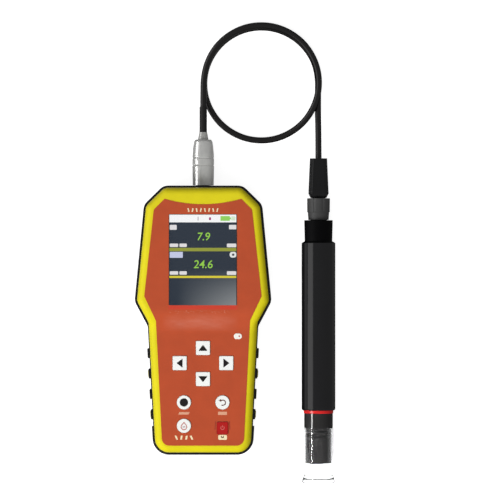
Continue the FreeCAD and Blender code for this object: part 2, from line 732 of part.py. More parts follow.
def cable_route():
    """The points the cable turns at: out of the plug, one and a half times round, into the probe."""
    points = [(0.0, 160.0, SOCKET_Z), (0.0, 190.0, SOCKET_Z)]
    for degrees in range(165, -346, -LOOP_STEP):
        if degrees > -30:
            points.append(loop_point(degrees, LOOP_RADIUS, CROSSING_LIE))
        elif degrees == -45:
            points.append(loop_point(degrees, LOOP_RADIUS, 6.4))
        elif degrees > -180:
            points.append(loop_point(degrees, LOOP_RADIUS, FLOOR_LIE))
        else:
            inner = INNER_TURN * math.sin(math.radians(degrees))
            points.append(loop_point(degrees, LOOP_RADIUS - inner, FLOOR_LIE))
    points += [(100.6, 188.5, FLOOR_LIE), (PROBE_X, 161.5, PROBE_Z), (PROBE_X, 136.5, PROBE_Z)]
    return points


def bent_path(points):
    """Straight runs joined by tangent arcs, each as large as its two runs allow."""
    corners = [Vector(*p) for p in points]
    edges, start, radii = [], corners[0], []
    for before, corner, after in zip(corners, corners[1:], corners[2:]):
        back, ahead = before - corner, after - corner
        reach = 0.45 * min(back.Length, ahead.Length)
        half_turn = (math.pi - back.getAngle(ahead)) / 2
        radius = reach / math.tan(half_turn)
        radii.append(radius)
        back.normalize()
        ahead.normalize()
        inward = (back + ahead).normalize()
        on_arc = corner + inward * (radius / math.cos(half_turn) - radius)
        edges.append(Part.LineSegment(start, corner + back * reach).toShape())
        edges.append(Part.Arc(corner + back * reach, on_arc, corner + ahead * reach).toShape())
        start = corner + ahead * reach
    edges.append(Part.LineSegment(start, corners[-1]).toShape())
    return Part.Wire(edges), radii


def swept(path, radius):
    """A round bar along the path."""
    start = path.Edges[0]
    ring = Part.Wire(Part.makeCircle(radius, start.valueAt(0), start.tangentAt(0)))
    return path.makePipeShell([ring], True, False)


def cable():
    path, radii = bent_path(cable_route())
    tube = swept(path, CABLE_RADIUS)
    expected = math.pi * CABLE_RADIUS**2 * path.Length
    print(f"cable: length {path.Length:.0f}, radii {min(radii):.1f} to {max(radii):.0f}")
    print(f"cable: volume {tube.Volume:.0f}, section times length {expected:.0f}")
    return tube


# ---- connector at the probe's end of the cable ----
def cable_boot():
    """The moulded rubber grip and strain relief: four flats with bevels between them, and a tapered top."""
    places = (BOOT_FOOT_Y, BOOT_FOOT_Y + BOOT_SHOULDER, BOOT_TOP_Y)
    sections = [bevelled_square(half, y) for half, y in zip(BOOT_HALF_WIDTHS, places)]
    boot = Part.makeLoft(sections, True, True)
    along = [e for e in boot.Edges if abs(e.tangentAt(e.FirstParameter).y) > 0.5]
    boot = boot.makeFillet(BOOT_ROUNDING, along)
    end = CONNECTOR_Y[1]
    boot = boot.cut(along_y(PROBE_X, PROBE_Z, PLUG_BODY_RADIUS, BOOT_FOOT_Y - 1, end))
    return boot.cut(along_y(PROBE_X, PROBE_Z, CABLE_RADIUS, end - 1, BOOT_TOP_Y + 1))


def bevelled_square(half, y):
    """A square section of the boot, of this half width, with its corners cut off."""
    flat = half - BOOT_BEVEL
    corners = [(half, flat), (flat, half), (-flat, half), (-half, flat)]
    corners += [(-x, -z) for x, z in corners]
    points = [Vector(PROBE_X + x, y, PROBE_Z + z) for x, z in corners]
    return Part.makePolygon(points + points[:1])


def probe_plug_core():
    """The connector's inner body, with its nose in the probe."""
    start, end = CONNECTOR_Y
    body = along_y(PROBE_X, PROBE_Z, PLUG_BODY_RADIUS, start, end)
    body = round_rims(body, [(PLUG_BODY_RADIUS, start, 0.4)])
    core = fused([body, along_y(PROBE_X, PROBE_Z, CONNECTOR_RIM_RADIUS, *CONNECTOR_RIM_Y)])
    return core.cut(contact_pins(PROBE_X, PROBE_Z, CONTACT_RADIUS + CLEARANCE, start - 1, start + 8))


def coupling_nut():
    """The grey bayonet nut that locks the connector to the probe, with shallow grip flutes."""
    foot = COLLAR_TOP_Y + 0.3
    shoulder = foot + 6.0
    top_plate = NUT_TOP_Y - 2.3
    body_bore = PLUG_BODY_RADIUS + 0.07
    profile = [
        (NUT_BORE, foot),
        (NUT_LIP_RADIUS, foot),
        (NUT_LIP_RADIUS + 0.4, shoulder),
        (NUT_LIP_RADIUS + 0.4, shoulder + 0.4),
        (NUT_RADIUS - 0.1, shoulder + 1.0),
        (NUT_RADIUS, NUT_TOP_Y),
        (body_bore, NUT_TOP_Y),
        (body_bore, top_plate),
        (NUT_BORE, top_plate),
    ]
    nut = round_rims(lathe(profile, PROBE_X, PROBE_Z), [(NUT_RADIUS, NUT_TOP_Y, 0.5)])
    grips = []
    for i in range(GRIP_COUNT):
        turn = math.radians(360 * (i + 0.5) / GRIP_COUNT)
        x, z = PROBE_X + GRIP_RING * math.cos(turn), PROBE_Z + GRIP_RING * math.sin(turn)
        grips.append(along_y(x, z, GRIP_RADIUS, shoulder + 1.0, NUT_TOP_Y + 1))
    return nut.cut(Part.makeCompound(grips))


# ---- probe ----
def probe_top_cap():
    """The closure of the tube, with the collar and the nose that the nut locks to."""
    spigot = TUBE_BORE - CLEARANCE
    floor_y = CONNECTOR_Y[0] - 2
    profile = [
        (0, CAP_SPIGOT_Y),
        (spigot, CAP_SPIGOT_Y),
        (spigot, TUBE_TOP_Y),
        (COLLAR_RADIUS - 0.45, TUBE_TOP_Y + 0.4),
        (COLLAR_RADIUS, COLLAR_TOP_Y),
        (NOSE_RADIUS, COLLAR_TOP_Y),
        (NOSE_RADIUS, NOSE_END_Y),
        (NOSE_BORE, NOSE_END_Y),
        (NOSE_BORE, floor_y),
        (0, floor_y),
    ]
    rims = [(COLLAR_RADIUS, COLLAR_TOP_Y, 0.5), (NOSE_RADIUS, NOSE_END_Y, 0.3)]
    cap = round_rims(lathe(profile, PROBE_X, PROBE_Z), rims).cut(tube_seal_groove(TUBE_SEAL_Y[0]))
    return cap.cut(contact_pins(PROBE_X, PROBE_Z, CONTACT_RADIUS, CAP_SPIGOT_Y - 1, floor_y + 1))


def probe_contacts():
    return contact_pins(PROBE_X, PROBE_Z, CONTACT_RADIUS, CAP_SPIGOT_Y - 4, CONNECTOR_Y[0] + 6)


def tube_seal_groove(y):
    return tube_along_y(PROBE_X, PROBE_Z, TUBE_RADIUS, TUBE_BORE - 1.4, y - 1, y + 1)


def tube_seals():
    """One O-ring at each end of the tube, in the grooves of the cap and of the sensor head."""
    outer = TUBE_BORE - 0.05
    return Part.makeCompound([o_ring(PROBE_X, PROBE_Z, outer, SEAL_SECTION, y) for y in TUBE_SEAL_Y])


def probe_tube():
    profile = [
        (TUBE_BORE, TUBE_FOOT_Y),
        (TUBE_RADIUS, TUBE_FOOT_Y),
        (TUBE_RADIUS, TUBE_TOP_Y - TUBE_BEVEL),
        (TUBE_BORE, TUBE_TOP_Y),
    ]
    rims = [(TUBE_RADIUS, TUBE_TOP_Y - TUBE_BEVEL, 0.4), (TUBE_RADIUS, TUBE_FOOT_Y, 1.7)]
    return round_rims(lathe(profile, PROBE_X, PROBE_Z), rims)


def probe_board():
    """The probe's own circuit board, on edge down the middle of the tube."""
    board = Part.makeBox(20.0, 96.0, 1.6, Vector(PROBE_X - 10, -54.0, PROBE_Z - 0.8))
    chips = [Part.makeBox(9, 9, 1.8, Vector(PROBE_X - 4.5, y, PROBE_Z + 0.8)) for y in (-40, -12, 18)]
    return fused([board] + chips)


def sensor_head():
    """The dark head: a spigot in the tube, a neck below the ring, and the shaft with the sensing face."""
    neck_top = TUBE_FOOT_Y - RING_WIDTH
    profile = [
        (0, HEAD_SPIGOT_Y),
        (TUBE_BORE - CLEARANCE, HEAD_SPIGOT_Y),
        (TUBE_BORE - CLEARANCE, TUBE_FOOT_Y),
        (RING_BORE, TUBE_FOOT_Y),
        (RING_BORE, neck_top),
        (NECK_RADIUS, neck_top),
        (NECK_RADIUS, NECK_FOOT_Y),
        (HEAD_RADIUS, NECK_FOOT_Y),
        (HEAD_RADIUS, HEAD_FOOT_Y),
        (0, HEAD_FOOT_Y),
    ]
    rims = [(NECK_RADIUS, NECK_FOOT_Y, 0.5), (HEAD_RADIUS, HEAD_FOOT_Y, 0.6)]
    head = round_rims(lathe(profile, PROBE_X, PROBE_Z), rims)
    grooves = [tube_seal_groove(TUBE_SEAL_Y[1])]
    for y in cup_seal_places():
        grooves.append(tube_along_y(PROBE_X, PROBE_Z, TUBE_RADIUS, HEAD_RADIUS - 1.1, y - 0.8, y + 0.8))
    seats = [along_y(x, z, radius, HEAD_FOOT_Y, HEAD_FOOT_Y + 6) for x, z, radius, _ in sensing_elements()]
    return head.cut(Part.makeCompound(grooves + seats))


def cup_seal_places():
    return [NECK_FOOT_Y - 3.5, NECK_FOOT_Y - 7.5]


def cup_seals():
    """Two O-rings that hold and seal the storage cup."""
    outer = CUP_BORE - 0.05
    return Part.makeCompound([o_ring(PROBE_X, PROBE_Z, outer, SEAL_SECTION, y) for y in cup_seal_places()])


def red_ring():
    foot = TUBE_FOOT_Y - RING_WIDTH
    ring = tube_along_y(PROBE_X, PROBE_Z, RING_RADIUS, RING_BORE, foot, TUBE_FOOT_Y)
    return round_rims(ring, [(RING_RADIUS, foot, 0.4)])


def sensing_elements():
    """(x, z, radius, how far it stands out) of the window, the thermometer and the reference."""
    return [
        (PROBE_X, PROBE_Z + 4.2, 4.0, 0.5),
        (PROBE_X - 5.2, PROBE_Z - 4.2, 2.2, 1.2),
        (PROBE_X + 5.2, PROBE_Z - 4.2, 2.0, 0.4),
    ]


def sensing_element(index):
    x, z, radius, out = sensing_elements()[index]
    body = along_y(x, z, radius, HEAD_FOOT_Y - out, HEAD_FOOT_Y + 6)
    return round_rims(body, [(radius, HEAD_FOOT_Y - out, min(0.3, out / 2))])


def storage_cup():
    """The clear cup that keeps the sensing face wet, with a broad thick foot."""
    mouth = NECK_FOOT_Y - 0.3
    flare_top, flare_foot = CUP_FLARE
    floor_y = CUP_FOOT_Y + CUP_FLOOR
    profile = [
        (CUP_BORE, mouth),
        (CUP_RADIUS, mouth),
        (CUP_RADIUS, flare_top),
        (CUP_FOOT_RADIUS, flare_foot),
        (CUP_FOOT_RADIUS, CUP_FOOT_Y),
        (0, CUP_FOOT_Y),
        (0, floor_y),
        (CUP_BORE, floor_y),
    ]
    rims = [(CUP_FOOT_RADIUS, CUP_FOOT_Y, 1.6), (CUP_RADIUS, mouth, 0.3), (CUP_BORE, floor_y, 1.0)]
    return round_rims(lathe(profile, PROBE_X, PROBE_Z), rims)


PARTS = {
    "front_case": front_case,
    "rear_case": rear_case,
    "case_gasket": case_gasket,
    "rubber_bumper": rubber_bumper,
    "grip_inserts": grip_inserts,
    "face_overlay": face_overlay,
    "display_window": display_window,
    "display_gasket": display_gasket,
    "display_module": display_module,
    "display_bracket": display_bracket,
    "key_switches": key_switches,
    "status_light": status_light,
    "status_lamp": status_lamp,
    "main_board": main_board,
    "case_screws": case_screws,
    "battery_cells": battery_cells,
    "battery_tray": battery_tray,
    "battery_contacts": battery_contacts,
    "battery_door": battery_door,
    "door_seal": door_seal,
    "door_screws": door_screws,
    "panel_socket": panel_socket,
    "socket_contacts": socket_contacts,
    "socket_nut": socket_nut,
    "plug_core": plug_core,
    "release_sleeve": release_sleeve,
    "plug_cone": plug_cone,
    "heat_shrink": heat_shrink,
    "cable": cable,
    "cable_boot": cable_boot,
    "probe_plug_core": probe_plug_core,
    "coupling_nut": coupling_nut,
    "probe_top_cap": probe_top_cap,
    "probe_contacts": probe_contacts,
    "tube_seals": tube_seals,
    "probe_tube": probe_tube,
    "probe_board": probe_board,
    "sensor_head": sensor_head,
    "cup_seals": cup_seals,
    "red_ring": red_ring,
    "storage_cup": storage_cup,
}
for key_name in KEY_NAMES:
    PARTS[key_name] = lambda name=key_name: key_cap(name)
for number, element in enumerate(["optical_window", "temperature_button", "reference_junction"]):
    PARTS[element] = lambda index=number: sensing_element(index)


def main():
    os.makedirs("parts", exist_ok=True)
    for name, make in PARTS.items():
        shape = make()
        if not shape.isValid() or not shape.Solids:
            raise ValueError(f"{name} isn't a valid solid")
        shape.exportStep(f"parts/{name}.step")
        print(f"{name}: {len(shape.Solids)} solids, {shape.Volume:.0f} mm3")


if __name__ == "__main__":
    main()
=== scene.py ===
"""Looks of a handheld water quality meter with its cable and probe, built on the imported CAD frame.

Lengths are in metres, and MM turns millimetres into them. +Z points out of the display.
"""

import math

import bpy
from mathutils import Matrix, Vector


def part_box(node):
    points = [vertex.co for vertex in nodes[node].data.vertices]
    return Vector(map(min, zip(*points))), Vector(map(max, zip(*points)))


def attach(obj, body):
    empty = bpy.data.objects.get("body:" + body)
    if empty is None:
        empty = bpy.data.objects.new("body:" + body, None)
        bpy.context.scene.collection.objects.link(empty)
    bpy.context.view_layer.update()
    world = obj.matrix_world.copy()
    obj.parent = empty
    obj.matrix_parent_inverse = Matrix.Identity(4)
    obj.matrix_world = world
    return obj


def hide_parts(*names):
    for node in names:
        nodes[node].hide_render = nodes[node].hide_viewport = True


MM = 0.001

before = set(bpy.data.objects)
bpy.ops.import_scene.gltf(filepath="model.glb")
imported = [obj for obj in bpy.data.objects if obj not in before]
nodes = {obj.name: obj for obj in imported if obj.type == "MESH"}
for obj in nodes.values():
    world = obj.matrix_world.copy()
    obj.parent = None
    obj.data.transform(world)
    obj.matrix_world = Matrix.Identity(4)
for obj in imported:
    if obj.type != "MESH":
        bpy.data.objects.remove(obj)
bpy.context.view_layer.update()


# ---- places, from the frame ----
def low(node):
    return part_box(node)[0] / MM


def high(node):
    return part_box(node)[1] / MM


def middle(node):
    return (low(node) + high(node)) / 2


LENS_LAP = 1.5
SCREEN_LEFT = low("display_window").x + LENS_LAP
SCREEN_TOP = high("display_window").y - LENS_LAP
SCREEN_WIDTH = high("display_window").x - LENS_LAP - SCREEN_LEFT
SCREEN_HEIGHT = SCREEN_TOP - low("display_window").y - LENS_LAP
SCREEN_Z = high("display_module").z
PANEL_Z = high("key_up").z - 0.9  # the panel's top beside the keys
HEAD_Z = high("face_overlay").z
PROBE = middle("probe_tube")
SOCKET_Z = middle("panel_socket").z


# ---- camera, floor and lights ----
VIEW_CENTRE = Vector((41.0, 61.2, 20.0)) * MM
VIEW_WIDTH = 437.5 * MM
CAMERA_HEIGHT = 4.0
SENSOR = 36.0


def camera():
    data = bpy.data.cameras.new("camera")
    data.sensor_width = SENSOR
    data.lens = SENSOR * CAMERA_HEIGHT / VIEW_WIDTH
    data.clip_end = 50.0
    made = bpy.data.objects.new("camera", data)
    made.location = VIEW_CENTRE + Vector((0, 0, CAMERA_HEIGHT))
    bpy.context.scene.collection.objects.link(made)
    bpy.context.scene.camera = made


camera()

# ---- the cable, whose route is the CAD tube's ----
CABLE_RADIUS = 2.75
LOOP_CENTRE = (51.0, 207.9)
LOOP_RADIUS = 50.4
LOOP_STEP = 30  # degrees between two points of the loop
FLOOR_LIE = 2.95  # heights of the cable's middle: on the floor, rising and at the crossing
RISING_LIE = 6.4
CROSSING_LIE = 9.2
INNER_TURN = 1.7  # how far the second turn lies inside the first


def loop_point(degrees, radius, height):
    """A point of the route outside the loop, so that the middle of each run lies on the loop."""
    out = radius / math.cos(math.radians(LOOP_STEP / 2))
    turn = math.radians(degrees)
    return (LOOP_CENTRE[0] + out * math.cos(turn), LOOP_CENTRE[1] + out * math.sin(turn), height)


def cable_route():
    """Out of the plug, one and a half times round, and into the probe's connector."""
    points = [(0.0, 160.0, SOCKET_Z), (0.0, 190.0, SOCKET_Z)]
    for degrees in range(165, -346, -LOOP_STEP):
        if degrees > -30:
            points.append(loop_point(degrees, LOOP_RADIUS, CROSSING_LIE))
        elif degrees == -45:
            points.append(loop_point(degrees, LOOP_RADIUS, RISING_LIE))
        elif degrees > -180:
            points.append(loop_point(degrees, LOOP_RADIUS, FLOOR_LIE))
        else:
            inner = INNER_TURN * math.sin(math.radians(degrees))
            points.append(loop_point(degrees, LOOP_RADIUS - inner, FLOOR_LIE))
    points += [(100.6, 188.5, FLOOR_LIE), (PROBE.x, 161.5, PROBE.z), (PROBE.x, 136.5, PROBE.z)]
    return points


def smooth_curve(name, points, radius):
    """A round bar along one NURBS spline with these points, in millimetres.

    The radius is the points' own, with a bevel of 1 m to multiply it, because a curve's box is
    worked out from the points' radius.
    """
    data = bpy.data.curves.new(name, "CURVE")
    data.dimensions = "3D"
    spline = data.splines.new("NURBS")
    spline.points.add(len(points) - 1)
    for place, point in zip(spline.points, points):
        place.co = (*(Vector(point) * MM), 1.0)
        place.radius = radius * MM
    spline.order_u = 3
    spline.use_endpoint_u = True
    spline.resolution_u = 14
    data.bevel_depth = 1.0
    data.bevel_resolution = 6
    data.use_fill_caps = True
    made = bpy.data.objects.new(name, data)
    bpy.context.scene.collection.objects.link(made)
    return made


cable = smooth_curve("cable_jacket", cable_route(), CABLE_RADIUS)
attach(cable, "cable_plug")
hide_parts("cable")


# ---- materials ----
def linear(red, green, blue):
    """An 8-bit display colour as linear light, with full alpha."""

    def channel(level):
        return ((level / 255 + 0.055) / 1.055) ** 2.4 if level > 10 else level / 3294.6

    return (channel(red), channel(green), channel(blue), 1.0)


def scaled(colour, factor):
    return tuple(min(1.0, c * factor) for c in colour[:3]) + (1.0,)


def math_node(tree, operation, first, second):
    """The result of a sum, each of whose two inputs is a number or a socket."""
    node = tree.nodes.new("ShaderNodeMath")
    node.operation = operation
    for socket, value in zip(node.inputs, (first, second)):
        if isinstance(value, bpy.types.NodeSocket):
            tree.links.new(value, socket)
        else:
            socket.default_value = value
    return node.outputs[0]


class Nodes:
    """A material's node tree, with short ways to add and join nodes."""

    def __init__(self, name):
        self.material = bpy.data.materials.new(name)
        self.material.use_nodes = True
        self.tree = self.material.node_tree
        self.shader = self.tree.nodes["Principled BSDF"]
        self.place = self.add("ShaderNodeTexCoord").outputs["Object"]

    def add(self, kind, links=(), **values):
        """A node of this kind. links are (input, socket) and values are the node's properties."""
        node = self.tree.nodes.new(kind)
        for key, value in values.items():
            setattr(node, key, value)
        for key, source in links:
            if isinstance(source, bpy.types.NodeSocket):
                self.tree.links.new(source, node.inputs[key])
            else:
                node.inputs[key].default_value = source
        return node

    def stretched(self, scale):
        node = self.add("ShaderNodeMapping", [("Vector", self.place), ("Scale", scale)])
        return node.outputs["Vector"]

    def noise(self, scale, detail=3.0, roughness=0.55, vector=None):
        links = [("Vector", vector or self.place), ("Scale", scale)]
        links += [("Detail", detail), ("Roughness", roughness)]
        return self.add("ShaderNodeTexNoise", links).outputs["Fac"]

    def remap(self, value, new_low, new_high, old_low=0.3, old_high=0.7):
        links = [("Value", value), ("From Min", old_low), ("From Max", old_high)]
        links += [("To Min", new_low), ("To Max", new_high)]
        return self.add("ShaderNodeMapRange", links).outputs["Result"]

    def mix(self, factor, first, second):
        node = self.add("ShaderNodeMix", data_type="RGBA")
        for name, value in (("Factor", factor), ("A", first), ("B", second)):
            kind = "VALUE" if name == "Factor" else "RGBA"
            socket = next(s for s in node.inputs if s.name == name and s.type == kind)
            if isinstance(value, bpy.types.NodeSocket):
                self.tree.links.new(value, socket)
            else:
                socket.default_value = value
        return next(s for s in node.outputs if s.type == "RGBA")

    def bump(self, height, depth, distance=0.0002, under=None):
        links = [("Height", height), ("Strength", depth), ("Distance", distance)]
        if under is not None:
            links.append(("Normal", under))
        return self.add("ShaderNodeBump", links).outputs["Normal"]

    def set(self, **values):
        """Sets or links inputs of the Principled shader, named with _ for a space."""
        for key, value in values.items():
            socket = self.shader.inputs[key.replace("_", " ")]
            if isinstance(value, bpy.types.NodeSocket):
                self.tree.links.new(value, socket)
            else:
                socket.default_value = value
        return self


def moulded(name, colour, roughness, grain=2600.0, depth=0.25, uneven=0.10, specular=0.5, coat=0.0):
    """Moulded plastic: a fine grain, slightly uneven colour and handling marks in the gloss."""
    n = Nodes(name)
    cloud = n.remap(n.noise(60.0, 4.0), 0.0, 1.0)
    n.set(Base_Color=n.mix(cloud, scaled(colour, 1 - uneven), scaled(colour, 1 + uneven)))
    marks = n.noise(220.0, 5.0, 0.7)
    n.set(Roughness=n.remap(marks, roughness * 0.88, min(1.0, roughness * 1.14)))
    fine = n.bump(n.noise(grain, 2.0), depth)
    n.set(Normal=n.bump(n.noise(90.0, 2.0), 0.06, 0.001, fine))
    n.set(Specular_IOR_Level=specular, Coat_Weight=coat, Coat_Roughness=0.15)
    return n.material


def rubber(name, colour, roughness=0.62, grain=3200.0):
    """Matt elastomer, with a soft sheen, a fine tooth and pale dust in patches."""
    n = Nodes(name)
    dust = n.remap(n.noise(140.0, 6.0, 0.65), 0.0, 0.35, 0.48, 0.78)
    n.set(Base_Color=n.mix(dust, colour, scaled(colour, 2.2)))
    n.set(Roughness=n.remap(n.noise(300.0, 4.0), roughness * 0.9, roughness * 1.1))
    n.set(Normal=n.bump(n.noise(grain, 3.0), 0.3))
    n.set(Specular_IOR_Level=0.35, Sheen_Weight=0.08, Sheen_Roughness=0.5)
    return n.material


def turned_metal(name, colour, roughness=0.28, across=(30.0, 9000.0, 30.0), metallic=1.0):
    """Plated metal with fine turning lines. A satin plating is less metallic."""
    n = Nodes(name)
    lines = n.noise(1.0, 2.0, 0.5, n.stretched(across))
    cloud = n.remap(n.noise(180.0, 5.0), 0.0, 1.0)
    n.set(Base_Color=n.mix(cloud, scaled(colour, 0.92), scaled(colour, 1.06)))
    n.set(Roughness=n.remap(lines, roughness * 0.92, roughness * 1.08), Metallic=metallic)
    n.set(Normal=n.bump(lines, 0.02, 0.00005))
    return n.material


def clear(name, tint, roughness=0.02, ior=1.49, grain=0.004, specular=0.5):
    """Clear plastic or glass. Rays from lamps go straight through, so what is behind it is lit."""
    n = Nodes(name)
    n.set(Base_Color=tint, Transmission_Weight=1.0, IOR=ior, Specular_IOR_Level=specular)
    n.set(Roughness=n.remap(n.noise(250.0, 4.0), roughness * 0.6, roughness * 1.6))
    n.set(Normal=n.bump(n.noise(70.0, 2.0), grain, 0.0005))
    ray = n.add("ShaderNodeLightPath").outputs["Is Shadow Ray"]
    through = n.add("ShaderNodeBsdfTransparent", [("Color", tint)])
    mixed = [("Fac", ray), (1, n.shader.outputs["BSDF"]), (2, through.outputs["BSDF"])]
    both = n.add("ShaderNodeMixShader", mixed)
    n.tree.links.new(both.outputs["Shader"], n.tree.nodes["Material Output"].inputs["Surface"])
    return n.material


def membrane(name):
    """The orange panel: redder under the display, with a line of pale specks, and a painted
    highlight in streaky patches down the slope.
    """
    n = Nodes(name)
    parts = n.add("ShaderNodeSeparateXYZ", [("Vector", n.place)])

    def band(axis, low_end, high_end, soft):
        """1 between two places along an axis, in millimetres, and 0 beyond them."""
        centre, half = (low_end + high_end) / 2 * MM, (high_end - low_end) / 2 * MM
        away = math_node(n.tree, "SUBTRACT", parts.outputs[axis], centre)
        size = n.add("ShaderNodeMath", [(0, away)], operation="ABSOLUTE").outputs[0]
        return n.remap(size, 1.0, 0.0, half - soft * MM, half + soft * MM)

    def product(*values):
        result = values[0]
        for value in values[1:]:
            result = math_node(n.tree, "MULTIPLY", result, value)
        return result

    cloud = n.remap(n.noise(60.0, 4.0), 0.0, 1.0)
    tone = n.mix(cloud, scaled(ORANGE, 0.95), scaled(ORANGE, 1.05))
    wide = SCREEN_WIDTH / 2
    foot = product(band("Y", 9.4, 13.2, 0.8), band("X", -wide, wide, 1.5), 0.8)
    tone = n.mix(foot, tone, linear(206, 52, 34))
    # A pale pink painted highlight down the slope, where the slope catches the light, broken into
    # streaky patches.
    streaks = n.noise(1.0, 5.0, 0.65, n.stretched((50.0, 130.0, 100.0)))
    patches = n.remap(streaks, 0.3, 1.0, 0.35, 0.65)
    painted_slope_sheen = product(band("Y", -6.5, 3.5, 3.5), band("X", -28.0, 24.0, 8.0), patches, 0.4)
    tone = n.mix(painted_slope_sheen, tone, linear(206, 132, 112))
    dots = n.remap(n.noise(1300.0, 2.0), 0.0, 1.0, 0.645, 0.68)
    specks = product(band("Y", 6.2, 8.6, 0.6), band("X", -27.0, 22.0, 3.0), dots, 0.8)
    n.set(Base_Color=n.mix(specks, tone, linear(244, 214, 196)))
    n.set(Roughness=n.remap(n.noise(220.0, 5.0, 0.7), 0.42, 0.55), Specular_IOR_Level=0.5)
    n.set(Normal=n.bump(n.noise(90.0, 2.0), 0.06, 0.001, n.bump(n.noise(3600.0, 2.0), 0.18)))
    return n.material


def printed(name, colour, roughness=0.5):
    """Screen-printed ink, a little uneven in its cover."""
    n = Nodes(name)
    cover = n.remap(n.noise(1500.0, 3.0), 0.0, 1.0)
    n.set(Base_Color=n.mix(cover, scaled(colour, 0.86), colour), Roughness=roughness)
    n.set(Normal=n.bump(n.noise(4000.0, 2.0), 0.15))
    return n.material


def lit(name, colour, strength, dark=0.93):
    """A lit part of the display, with the faint grid of its picture elements."""
    n = Nodes(name)
    cells = n.add("ShaderNodeTexChecker", [("Vector", n.place), ("Scale", 6000.0)]).outputs["Fac"]
    tone = n.mix(cells, scaled(colour, dark), colour)
    n.set(Base_Color=(0.01, 0.01, 0.01, 1.0), Roughness=0.35)
    n.set(Emission_Color=tone, Emission_Strength=strength)
    return n.material


def display_glow():
    """The dark ground of the display, whose backlight grows towards the lower right."""
    n = Nodes("display_ground")
    parts = n.add("ShaderNodeSeparateXYZ", [("Vector", n.place)])
    left, right = SCREEN_LEFT * MM, (SCREEN_LEFT + SCREEN_WIDTH) * MM
    top, foot = SCREEN_TOP * MM, (SCREEN_TOP - SCREEN_HEIGHT) * MM
    down = n.remap(parts.outputs["Y"], 0.0, 1.0, top - 0.6 * (top - foot), foot)
    across = n.remap(parts.outputs["X"], -0.15, 1.0, left, right)
    rise = math_node(n.tree, "MULTIPLY", down, across)
    tone = n.mix(rise, linear(34, 46, 62), linear(150, 153, 155))
    cells = n.add("ShaderNodeTexChecker", [("Vector", n.place), ("Scale", 6000.0)]).outputs["Fac"]
    n.set(Base_Color=(0.004, 0.005, 0.006, 1.0), Roughness=0.3, Specular_IOR_Level=0.1)
    grid = n.remap(cells, 0.0, 0.06, 0.0, 1.0)
    n.set(Emission_Color=n.mix(grid, tone, (0.0, 0.0, 0.0, 1.0)), Emission_Strength=0.82)
    return n.material


def frosted_board(name):
    """Green solder mask with faint copper tracks under it."""
    n = Nodes(name)
    links = [("Vector", n.place), ("Scale", 260.0), ("Mortar Size", 0.03)]
    tracks = n.add("ShaderNodeTexBrick", links).outputs["Fac"]
    n.set(Base_Color=n.mix(tracks, linear(14, 84, 44), linear(36, 120, 62)), Roughness=0.35)
    n.set(Normal=n.bump(tracks, 0.2))
    return n.material


YELLOW = linear(219, 206, 10)
ORANGE = linear(183, 72, 32)
MATERIALS = {
    "front_case": moulded("yellow_case", YELLOW, 0.42, 2400.0, 0.2, 0.04, specular=0.35),
    "rear_case": moulded("black_case", linear(24, 24, 26), 0.5, 1500.0, 0.45),
    "battery_door": moulded("black_door", linear(27, 27, 29), 0.5, 1500.0, 0.45),
    "rubber_bumper": rubber("bumper_rubber", linear(14, 14, 15)),
    "grip_inserts": rubber("pad_rubber", linear(190, 178, 30), 0.55),
    "face_overlay": membrane("membrane_orange"),
    "white_key": moulded("key_white", linear(240, 242, 239), 0.4, 3000.0, 0.1, 0.02),
    "key_power": moulded("key_red", linear(174, 18, 16), 0.45, 3000.0, 0.1, 0.05, specular=0.3),
    "status_light": moulded(
        "lens_white", linear(244, 244, 236), 0.25, 3000.0, 0.05, 0.02, coat=0.4
    ),
    "status_lamp": moulded("lamp_red", linear(186, 62, 52), 0.2, 3000.0, 0.05, 0.05, coat=0.5),
    "display_window": clear("window_clear", (0.97, 0.985, 0.99, 1.0), 0.02, 1.49, specular=0.2),
    "storage_cup": clear(
        "cup_clear", (0.985, 0.99, 0.995, 1.0), 0.006, 1.34, grain=0.001, specular=0.9
    ),
    "optical_window": clear("optic_clear", (0.55, 0.45, 0.75, 1.0), 0.02, 1.52),
    "release_sleeve": turned_metal("sleeve_satin", linear(166, 166, 164), 0.16, metallic=0.14),
    "panel_socket": turned_metal("socket_nickel", linear(176, 174, 168), 0.3),
    "contacts": turned_metal("contact_gold", linear(226, 184, 96), 0.25),
    "steel": turned_metal("plated_steel", linear(170, 170, 172), 0.32, (4000.0, 4000.0, 60.0)),
    "plug_cone": moulded("cone_grey", linear(138, 138, 135), 0.36, 2600.0, 0.12),
    "plug_core": moulded("core_black", linear(28, 28, 30), 0.4),
    "heat_shrink": moulded("shrink_black", linear(26, 25, 25), 0.5, 1400.0, 0.2, specular=0.3),
    "cable_jacket": moulded("jacket_black", linear(19, 17, 17), 0.26, 1800.0, 0.04),
    "cable_boot": moulded("boot_black", linear(18, 18, 19), 0.26, 2200.0, 0.12, specular=0.35),
    "coupling_nut": moulded("nut_grey", linear(62, 62, 62), 0.45, 2200.0, 0.2),
    "probe_top_cap": moulded("collar_black", linear(5, 5, 6), 0.5, 2200.0, 0.12, specular=0.08),
    "probe_tube": moulded("tube_black", linear(17, 17, 19), 0.13, 2200.0, 0.03, specular=0.53),
    "red_ring": moulded("ring_red", linear(214, 40, 40), 0.2, 2600.0, 0.05, 0.04, specular=0.12),
    "sensor_head": moulded("sensor_black", linear(46, 45, 45), 0.08, 2200.0, 0.01, specular=0.12),
    "seals": rubber("seal_rubber", linear(10, 10, 11), 0.4),
    "display_module": moulded("module_dark", linear(30, 33, 38), 0.4),
    "display_bracket": moulded("carrier_grey", linear(60, 60, 62), 0.55),
    "boards": frosted_board("solder_mask"),
    "battery_cells": moulded("cell_blue", linear(40, 66, 120), 0.3, 1800.0, 0.1, coat=0.3),
    "temperature_button": turned_metal("thermometer_steel", linear(190, 190, 192), 0.25),
    "reference_junction": moulded("reference_ceramic", linear(226, 222, 208), 0.8, 1500.0, 0.5),
}
